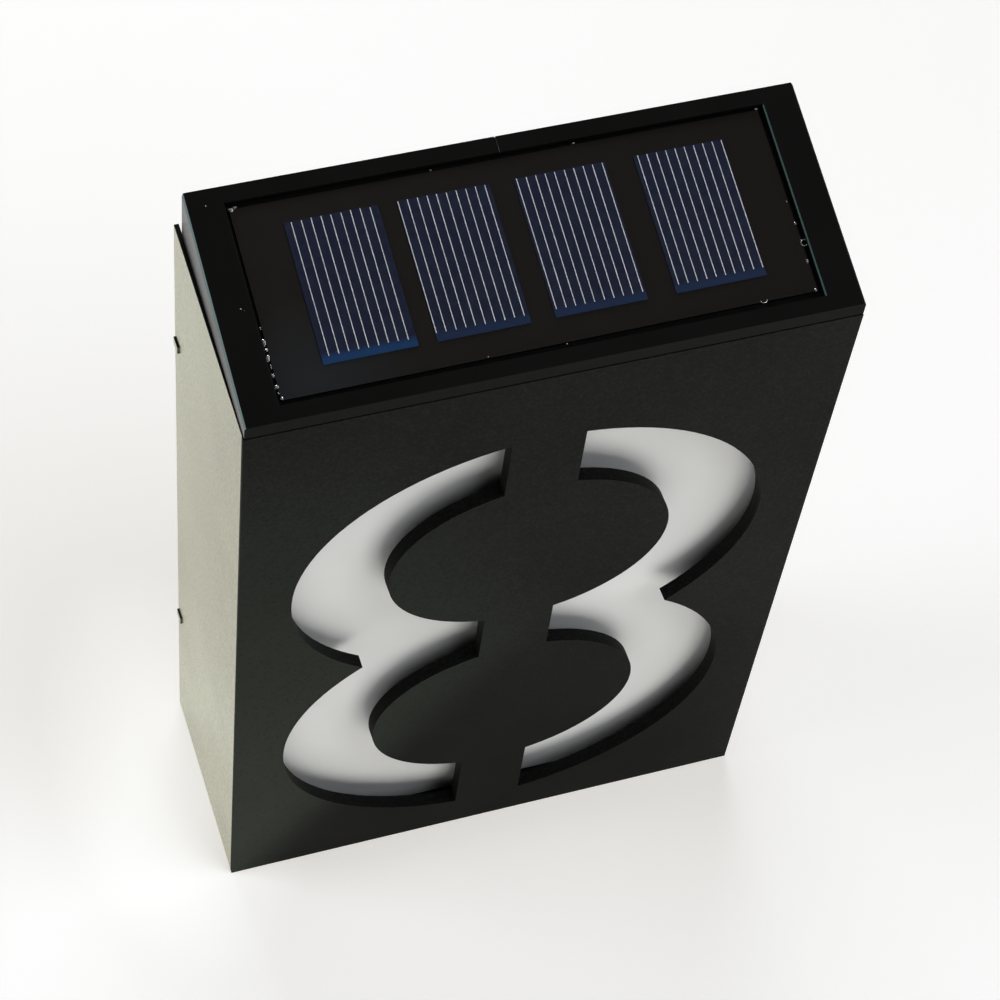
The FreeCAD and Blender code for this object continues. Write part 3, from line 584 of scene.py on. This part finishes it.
def resin_beads(name, top, beads, rings=()):
    """Drops of resin squeezed out round the panel: low domes with uneven outlines, whose height is
    the square root of one less the squared share of the radius, and two small burst-bubble rings."""
    chance = np.random.default_rng(7)
    rows, columns = 7, 14
    share = np.linspace(0, 1, rows)[:, None]
    angle = np.linspace(0, 2 * np.pi, columns, endpoint=False)[None, :]
    surfaces = []
    for x, y, radius, stretch in beads:
        wave = 0.18 * np.sin(2 * angle + chance.uniform(0, 6))
        edge = radius * MM * (1 + wave + 0.12 * np.sin(3 * angle + chance.uniform(0, 6)))
        points = np.stack([
            x * MM + share * edge * np.cos(angle),
            y * MM + stretch * share * edge * np.sin(angle),
            top - 0.1 * MM + 0.7 * radius * MM * np.sqrt(1 - share ** 2) + 0 * angle], axis=-1)
        surfaces.append((points.reshape(-1, 3), quads(rows, columns, wrap_columns=True)))
    for x, y, radius, start, sweep in rings:
        around = np.radians(np.linspace(start, start + sweep, 40))
        path = np.stack([x * MM + radius * MM * np.cos(around), y * MM + radius * MM * np.sin(around),
                         top + 0.05 * MM + 0 * around], axis=-1)
        surfaces.append(tube(path, 0.09 * MM, 8))
    points, faces = joined(*surfaces)
    piece(name, on_slope(points), faces, "lid", finishes["resin"])


# drops along the panel's edges: x, y on the slope, radius in mm, and how much longer than wide
BEADS = (
    (-62.9, 22.4, 0.2, 1.6), (-63.0, 19.0, 0.46, 1.7), (-62.9, 17.2, 0.34, 1.4), (-63.1, 15.2, 0.5, 1.6),
    (-62.9, 13.2, 0.2, 2.4), (-63.0, 11.1, 0.3, 1.9), (-62.9, 8.4, 0.46, 1.2), (-62.8, 6.9, 0.2, 1.4),
    (-62.4, 5.6, 0.4, 0.8), (-62.4, 50.9, 0.75, 0.6), (-61.4, 51.3, 0.4, 0.8), (-16.2, 51.6, 0.26, 0.7),
    (17.7, 51.8, 0.32, 0.6), (62.2, 51.9, 0.4, 0.8), (62.2, 28.2, 0.2, 1.6), (62.5, 22.6, 0.3, 1.2),
    (62.5, 13.1, 0.26, 1.8), (62.2, 6.0, 0.36, 1.0), (-15.5, 5.7, 0.2, 1.0),
)
# rings: x, y on the slope, radius in mm, where the arc starts and its sweep in degrees
RINGS = ((63.1, 17.6, 0.75, 0, 350), (49.6, 6.1, 0.8, 190, 160))
RIM_SPOTS = (
    (-66.2, 27.1, 0.3, 0.5), (-65.6, 26.5, 0.16, 0.8), (-67.7, 52.3, 0.2, 1.0), (2.2, 4.6, 0.16, 1.0))
resin_beads("resin_beads", panel_top, BEADS, RINGS)
resin_beads("rim_spots", 0.0, RIM_SPOTS)


# ---------------------------------------------------------------- screws
def pan_screw(head_radius, head_height, shank_radius, shank_length, columns=64):
    """Pan-head screw, head up, seat at zero. The head is a low dome with a rounded rim and a cross
    recess: a dip wherever a point lies within an arm's half width of either axis. The shank's
    radius follows a triangle wave of its height and angle, which winds into a thread."""
    angle = np.linspace(0, 2 * np.pi, columns, endpoint=False)[None, :]
    rows = 26
    share = np.linspace(0, 1, rows)[:, None]
    radius = head_radius * share + 0 * angle
    height = head_height * (1 - 0.12 * share ** 2) * np.sqrt(np.clip(1 - share ** 12, 0, 1)) + 0 * angle
    x, y = radius * np.cos(angle), radius * np.sin(angle)
    arm, half = 0.62 * head_radius, 0.13 * head_radius
    reach = np.maximum(np.minimum(half - abs(y), arm - abs(x)), np.minimum(half - abs(x), arm - abs(y)))
    height = height - 0.6 * head_height * np.clip(reach / (0.05 * head_radius) + 0.5, 0, 1)
    head = np.stack([x, y, height], axis=-1)
    turns = np.linspace(0, 1, 90)[:, None]
    pitch = 0.42 * shank_radius
    depth = abs(((turns * shank_length / pitch + angle / (2 * np.pi)) % 1) - 0.5) * 2
    taper = np.clip((1 - turns) * shank_length / (0.8 * shank_radius), 0.02, 1)
    core = shank_radius * (0.8 + 0.2 * depth) * taper
    shank = np.stack([
        core * np.cos(angle), core * np.sin(angle), -turns * shank_length + 0 * angle], axis=-1)
    points = np.concatenate([head, shank]).reshape(-1, 3)
    return points, quads(rows + len(turns), columns, wrap_columns=True)


SCREW_HEAD = (2.4 * MM, 1.4 * MM)
SCREW_SHANK = 1.25 * MM


def screws(node, name, body, out, length, places):
    """The screws of one node, set at their places with their heads facing out."""
    made = [turned(pan_screw(*SCREW_HEAD, SCREW_SHANK, length), out, place) for place in places]
    points, faces = joined(*made)
    piece(name, points, faces, body, finishes["steel"], replaces=[node])


low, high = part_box("back_screws")
head = SCREW_HEAD[0]
screws("back_screws", "back_pan_screws", "housing", (0, 1, 0), 7 * MM, [
    (x, high.y - SCREW_HEAD[1], z)
    for x in (low.x + head, high.x - head) for z in (low.z + head, high.z - head)])
low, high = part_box("module_screws")
screws("module_screws", "cover_pan_screws", "lid", (0, 0, -1), 3.5 * MM, [
    (x, y, low.z + SCREW_HEAD[1])
    for x in (low.x + head, high.x - head) for y in (low.y + head, high.y - head)])
low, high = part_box("led_screws")
screws("led_screws", "strip_pan_screws", "lid", (0, 0, -1), high.z - low.z - SCREW_HEAD[1], [
    (x, (low.y + high.y) / 2, low.z + SCREW_HEAD[1]) for x in (low.x + head, high.x - head)])


# ---------------------------------------------------------------- electric parts
def battery_pieces():
    """An AA cell: a turned steel can with its nub, and a shrunk sleeve whose ends roll over it."""
    low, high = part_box("battery")
    radius = (high.z - low.z) / 2
    centre = (low.x, (low.y + high.y) / 2, (low.z + high.z) / 2)
    can_end = high.x - low.x - 1.0 * MM
    nub = 2.7 * MM
    bend = 0.5 * MM
    corner = np.radians(np.linspace(0, 90, 6))
    inner = radius - 0.25 * MM
    can = [(0, 0), (inner - bend, 0)]
    can += [(inner - bend + bend * math.sin(a), bend - bend * math.cos(a)) for a in corner[1:]]
    can += [(inner, can_end - bend), (inner - bend, can_end - 0.2 * MM),
            (nub + 1.5 * MM, can_end - 0.3 * MM), (nub + 0.2 * MM, can_end), (nub, can_end + 0.8 * MM),
            (nub - 0.3 * MM, can_end + 1.0 * MM), (0, can_end + 1.0 * MM)]
    points, faces = turned(lathe(can, 64), (1, 0, 0), centre)
    piece("battery_can", points, faces, "battery", finishes["nickel"],
          replaces=["battery"])
    roll = 0.35 * MM
    lip = [(radius - 1.4 * MM, 0.02 * MM), (radius - roll, 0.02 * MM)]
    lip += [(radius - roll + roll * math.sin(a), roll - roll * math.cos(a) + 0.02 * MM) for a in corner[1:]]
    far = can_end
    lip += [(radius - roll + roll * math.cos(a), far - roll + roll * math.sin(a)) for a in corner]
    lip += [(radius - 1.6 * MM, far - 0.02 * MM)]
    points, faces = turned(lathe(lip, 64), (1, 0, 0), centre)
    piece("battery_wrap", points, faces, "battery", finishes["sleeve"])


def battery_spring():
    """A conical spring: a wire carried along a helix whose radius shrinks towards the cell, on a
    round foot plate."""
    low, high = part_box("battery_spring")
    radius = (high.z - low.z) / 2
    centre = ((low.y + high.y) / 2, (low.z + high.z) / 2)
    wire = 0.3 * MM
    share = np.linspace(0, 1, 220)
    turns = 4.5
    angle = 2 * np.pi * turns * share
    spread = (radius - wire) * (1 - 0.35 * share)
    x = low.x + 0.4 * MM + wire + (high.x - low.x - 0.4 * MM - 2 * wire) * share
    path = np.stack([x, centre[0] + spread * np.cos(angle), centre[1] + spread * np.sin(angle)], axis=-1)
    along = np.gradient(path, axis=0)
    along /= np.linalg.norm(along, axis=1, keepdims=True)
    out = np.stack([0 * angle, np.cos(angle), np.sin(angle)], axis=-1)
    over = np.cross(along, out)
    around = np.linspace(0, 2 * np.pi, 10, endpoint=False)[None, :, None]
    wound = path[:, None] + wire * (np.cos(around) * out[:, None] + np.sin(around) * over[:, None])
    coil = (wound.reshape(-1, 3), quads(len(share), 10, wrap_columns=True))
    plate = [(0, 0), (radius - 0.1 * MM, 0), (radius, 0.1 * MM), (radius, 0.3 * MM),
             (radius - 0.1 * MM, 0.4 * MM), (0, 0.4 * MM)]
    foot = turned(lathe(plate, 48), (1, 0, 0), (low.x, *centre))
    points, faces = joined(coil, foot)
    piece("battery_coil_spring", points, faces, "lid", finishes["nickel"],
          replaces=["battery_spring"])


def wound_coil():
    """A drum core with enamelled wire: between the flanges the radius rises and falls with height
    and angle, which winds the ridges into a helix."""
    low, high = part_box("boost_coil")
    radius, tall = (high.x - low.x) / 2, high.z - low.z
    columns = 64
    angle = np.linspace(0, 2 * np.pi, columns, endpoint=False)[None, :]
    height = np.linspace(0, 1, 120)[:, None]
    wire = 0.32 * MM
    wound = radius * 0.86 + 0.5 * wire * abs(np.sin(np.pi * (height * tall / wire + angle / (2 * np.pi))))
    flange = (height < 0.16) | (height > 0.84)
    r = np.where(flange, radius, wound)
    r = np.where((height == 0) | (height == 1), 0, r)
    points = np.stack([r * np.cos(angle), r * np.sin(angle), height * tall + 0 * angle], axis=-1)
    points = points.reshape(-1, 3) + np.array([(low.x + high.x) / 2, (low.y + high.y) / 2, low.z])
    piece("wound_drum_coil", points, quads(120, columns, wrap_columns=True), "lid",
          finishes["copper"], replaces=["boost_coil"])


def capacitor_can():
    """A radial electrolytic can: sleeve with a crimp groove near its foot and a rounded top."""
    low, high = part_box("capacitor")
    radius, tall = (high.x - low.x) / 2, high.z - low.z
    profile = [(0, 0), (radius * 0.9, 0), (radius, 0.25 * MM), (radius, 0.7 * MM), (radius * 0.9, 0.95 * MM),
               (radius, 1.2 * MM), (radius, tall - 0.4 * MM), (radius * 0.95, tall - 0.1 * MM),
               (radius * 0.85, tall), (radius * 0.8, tall - 0.1 * MM), (0, tall - 0.1 * MM)]
    points, faces = lathe(profile, 56)
    points = points + np.array([(low.x + high.x) / 2, (low.y + high.y) / 2, low.z])
    piece("capacitor_can", points, faces, "lid", finishes["capacitor"],
          replaces=["capacitor"])


def chip_legs():
    """Gull-wing legs down both long sides of the chip: a bent strip carried across its width."""
    low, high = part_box("charge_chip")
    reach, wide = 0.9 * MM, 0.4 * MM
    bend = np.array([
        (0, 0.8), (0.45, 0.8), (0.6, 0.15), (1.0, 0.1), (1.0, 0.0), (0.5, 0.0), (0.35, 0.65), (0, 0.65)])
    y, z = bend[:, 0] * reach, bend[:, 1] * MM
    leg = np.stack([np.tile([-wide / 2, wide / 2], len(y)), np.repeat(y, 2), np.repeat(z, 2)], axis=-1)
    faces = quads(len(y), 2, wrap_rows=True)
    xs = low.x + (high.x - low.x) * (np.arange(4) + 0.5) / 4
    front = leg * np.array([1, -1, 1])
    rear = repeated(leg, faces, [(x, high.y, low.z) for x in xs])
    ahead = repeated(front, faces[:, ::-1], [(x, low.y, low.z) for x in xs])
    points, faces = joined(rear, ahead)
    piece("chip_legs", points, faces, "lid", finishes["nickel"], smooth=False)


def solder_joints():
    """Small bell-shaped fillets where the leads land: radius falls off with the square of height."""
    share = np.linspace(0, 1, 8)
    flare = 1.1 * MM * (1 - share) ** 1.6 + 0.62 * MM * (share > 0) * (share < 1)
    profile = np.stack([flare, 0.9 * MM * share], axis=-1)
    profile[-1, 0] = 0
    drop = lathe(profile, 24)
    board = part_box("control_board")[1].z
    places = []
    for lead in ("panel_lead_plus", "panel_lead_minus", "battery_lead_plus", "battery_lead_minus"):
        points = np.array([v.co for v in nodes[lead].data.vertices])
        foot = points[points[:, 2] < points[:, 2].min() + 0.05 * MM].mean(0)
        places.append((foot[0], foot[1], board))
    points, faces = repeated(*drop, places)
    piece("solder_joints", points, faces, "lid", finishes["steel"])


battery_pieces()
battery_spring()
wound_coil()
capacitor_can()
chip_legs()
solder_joints()


# ---------------------------------------------------------------- sheets and mouldings with soft edges
SHEET_EDGE = 0.12 * MM
MOULD_EDGE = 0.12 * MM
RECESS_LOW, RECESS_HIGH = flat("panel_sealant").min(0), flat("panel_sealant").max(0)


def cut_walls(middles, ways):
    """The walls of a sheet's cuts and its outer edges, which don't face forwards or back."""
    return abs(ways[:, 1]) < 0.9


def thin_edges(middles, ways):
    """A side panel's narrow edges."""
    return abs(ways[:, 0]) < 0.9


def level_edges(middles, ways):
    """Faces that look up or down."""
    return abs(ways[:, 2]) > 0.9


def lid_faces(middles, ways):
    """1 on the lid's front strip, 2 on its side faces, 3 on its broken left edge, 4 on the recess's
    walls and floor, painted near-black as shade, 5 on the recess's broken right edge and 6 on the seam
    in the rear rail, painted pale as a highlight."""
    turn = np.array(Matrix.Rotation(SLOPE, 3, "X"))
    middles, slope_ways = (middles - np.array(SLOPE_FOOT)) @ turn, ways @ turn
    reach = 0.3 * MM
    within = ((middles > RECESS_LOW - reach) & (middles < RECESS_HIGH + reach))[:, :2].all(1)
    kind = np.zeros(len(middles), int)
    kind[(ways[:, 1] < -0.9) & (middles[:, 1] < reach)] = 1
    kind[(abs(ways[:, 0]) > 0.9) & (abs(middles[:, 0]) > lid_high.x - reach)] = 2
    kind[(ways[:, 0] < -0.3) & (slope_ways[:, 2] > 0.3) & (middles[:, 2] > -0.5 * MM)] = 3
    kind[(kind == 3) & (middles[:, 0] > 0)] = 5
    kind[(abs(middles[:, 0]) < reach) & (middles[:, 1] > RECESS_HIGH[1]) & (ways[:, 0] < -0.5)] = 6
    kind[within & (middles[:, 2] < -0.3 * MM) & (middles[:, 2] > -3 * MM) & (kind == 0)] = 4
    return kind


# the front panel's cut walls and outer edges take the liner's darker black: partly the sheet's black cut
# edges, partly painted shade in the cuts
for name in ("front_panel", "stencil_liner"):
    rounded(name, SHEET_EDGE,
            finishes[node_finish[name]], [finishes["liner"]], cut_walls)
for name in ("left_side_panel", "right_side_panel"):
    rounded(name, SHEET_EDGE, finishes["sides"], [finishes["front"]], thin_edges)
rounded("base_panel", SHEET_EDGE, finishes["sides"])
rounded("back_plate", SHEET_EDGE, finishes["sides"], [finishes["front"]], level_edges)
lid_kinds = ("lid_front", "lid_sides", "arris", "recess", "recess_arris", "seam")
rounded("lid_frame", MOULD_EDGE, finishes["lid"],
        [finishes[kind] for kind in lid_kinds], lid_faces)
for name in ("module_cover", "battery_cradle", "switch_body", "switch_knob"):
    rounded(name, MOULD_EDGE, finishes[node_finish[name]])


# ---------------------------------------------------------------- stage, lights and camera
FLOOR_COLOUR = "e7eef7"
FLOOR_GLOW_COLOUR = "fff1db"
FLOOR_PATCH_COLOUR = "fff8ec"
FLOOR_GLOW, PATCH_GLOW = 0.39, 0.15
HORIZON = 0.95
HORIZON_COLOUR = "fffefb"


def stage_floor():
    """A pale floor that keeps the sign's shadow and looks the same to the camera and in reflections.
    Part of its light is its own, more so in a patch by the sign's left side, and far off it fades into
    the white horizon. It throws no shadow, so that the softboxes under it light the sign."""
    tree, output = material("pale_floor")
    place = add(tree, "ShaderNodeTexCoord").outputs["Object"]
    narrow = add(tree, "ShaderNodeMapping", {"Vector": place, "Scale": (2, 1, 1)}).outputs["Vector"]
    patch = (2 * (front_low.x - 8 * MM), 10 * MM, 0)
    lit = ramp(tree, distance(tree, narrow, patch), 20 * MM, 70 * MM, 1, 0)
    strength = ramp(tree, lit, 0, 1, FLOOR_GLOW, FLOOR_GLOW + PATCH_GLOW)
    glow_colour = mix(tree, lit, FLOOR_GLOW_COLOUR, FLOOR_PATCH_COLOUR)
    diffuse = add(tree, "ShaderNodeBsdfDiffuse", {"Color": linear(FLOOR_COLOUR)})
    glow = add(tree, "ShaderNodeEmission", {"Color": glow_colour, "Strength": strength})
    both = add(tree, "ShaderNodeAddShader", {0: diffuse.outputs["BSDF"], 1: glow.outputs["Emission"]})
    white = add(tree, "ShaderNodeEmission", {"Color": linear(HORIZON_COLOUR), "Strength": HORIZON})
    away = add(tree, "ShaderNodeVectorMath", {0: place}, operation="LENGTH").outputs["Value"]
    upper = add(tree, "ShaderNodeMixShader", {
        0: ramp(tree, away, 0.55, 1.3, 0, 1), 1: both.outputs["Shader"], 2: white.outputs["Emission"]})
    half = 4.0
    mesh = bpy.data.meshes.new("floor")
    corners = [(-half, -half, 0), (half, -half, 0), (half, half, 0), (-half, half, 0)]
    mesh.from_pydata(corners, [], [(0, 1, 2, 3)])
    mesh.materials.append(finished(tree, output, upper.outputs["Shader"]))
    floor = bpy.data.objects.new("floor", mesh)
    bpy.context.scene.collection.objects.link(floor)
    floor.visible_shadow = False
    floor.visible_diffuse = False


def world_light():
    """White low down, where the camera and reflections meet the horizon, and dark overhead. What
    lights matt surfaces is dim, with the floor's bounce below the horizon."""
    world = bpy.data.worlds.new("studio")
    bpy.context.scene.world = world
    world.use_nodes = True
    tree = world.node_tree
    tree.nodes.clear()
    way = add(tree, "ShaderNodeTexCoord").outputs["Generated"]
    height = add(tree, "ShaderNodeSeparateXYZ", {"Vector": way}).outputs["Z"]
    shown = ramp(tree, height, 0.35, 0.8, HORIZON, 0.01)
    path = add(tree, "ShaderNodeLightPath")
    seen = path.outputs["Is Camera Ray"]
    for kind in ("Is Glossy Ray", "Is Transmission Ray"):
        either = add(tree, "ShaderNodeMath", {0: seen, 1: path.outputs[kind]}, operation="MAXIMUM")
        seen = either.outputs["Value"]
    bounce = ramp(tree, height, -0.02, 0.02, 0.1, 0.03)
    strength = add(tree, "ShaderNodeMix", {"Factor": seen, 2: bounce, 3: shown}, data_type="FLOAT")
    back = add(tree, "ShaderNodeBackground", {
        "Color": linear(HORIZON_COLOUR), "Strength": strength.outputs[0]})
    add(tree, "ShaderNodeOutputWorld", {"Surface": back.outputs["Background"]})


def lamp(name, azimuth, elevation, half_angle, radiance, colour="ffffff", glare=True):
    """A round softbox that faces the sign from an azimuth, in degrees right of the front's own
    direction, and an elevation. Radiance 1 looks as bright as white paper."""
    az, el = math.radians(azimuth), math.radians(elevation)
    way = Vector((math.sin(az) * math.cos(el), -math.cos(az) * math.cos(el), math.sin(el)))
    data = bpy.data.lights.new(name, "AREA")
    data.shape = "DISK"
    data.size = 2 * LAMP_DISTANCE * math.tan(math.radians(half_angle))
    data.energy = radiance * math.pi * math.pi * data.size ** 2 / 4
    data.color = linear(colour)[:3]
    made = bpy.data.objects.new(name, data)
    made.location = Vector((0, 0, (front_low.z + front_high.z) / 2)) + way * LAMP_DISTANCE
    made.rotation_mode = "QUATERNION"
    made.rotation_quaternion = way.to_track_quat("Z", "Y")
    made.visible_camera = False
    made.visible_glossy = glare
    bpy.context.scene.collection.objects.link(made)


def camera():
    """The photograph's view: where the camera stands, and its right, down and forward directions."""
    data = bpy.data.cameras.new("camera")
    data.sensor_width = 36.0
    data.lens = 100.4
    data.shift_x = 0.08
    data.shift_y = 0.08
    right = Vector((0.953598, -0.293167, 0.068592))
    down = Vector((-0.207547, -0.805101, -0.555641))
    ahead = Vector((0.218119, 0.515622, -0.828588))
    made = bpy.data.objects.new("camera", data)
    turn = Matrix((right, -down, -ahead)).transposed().to_4x4()
    made.matrix_world = Matrix.Translation((-0.17304, -0.37228, 0.67989)) @ turn
    bpy.context.scene.collection.objects.link(made)
    bpy.context.scene.camera = made


stage_floor()
world_light()
LAMP_DISTANCE = 1.2
lamp("front_softbox", 8, -12, 24, 2.5, "fffef9", glare=False)
lamp("upper_right_softbox", 48, 52, 24, 2.65, "f8fbff", glare=False)
lamp("lower_left_softbox", -40, -28, 24, 0.94, glare=False)
lamp("lower_right_softbox", 64, -36, 16, 2.25, glare=False)
lamp("left_softbox", -40, 20, 16, 0.92, glare=False)
lamp("left_window", -102, 17, 20, 4.0)
lamp("rear_softbox", 172, 41, 19, 3.0)
camera()
bpy.context.scene.view_settings.view_transform = "Standard"
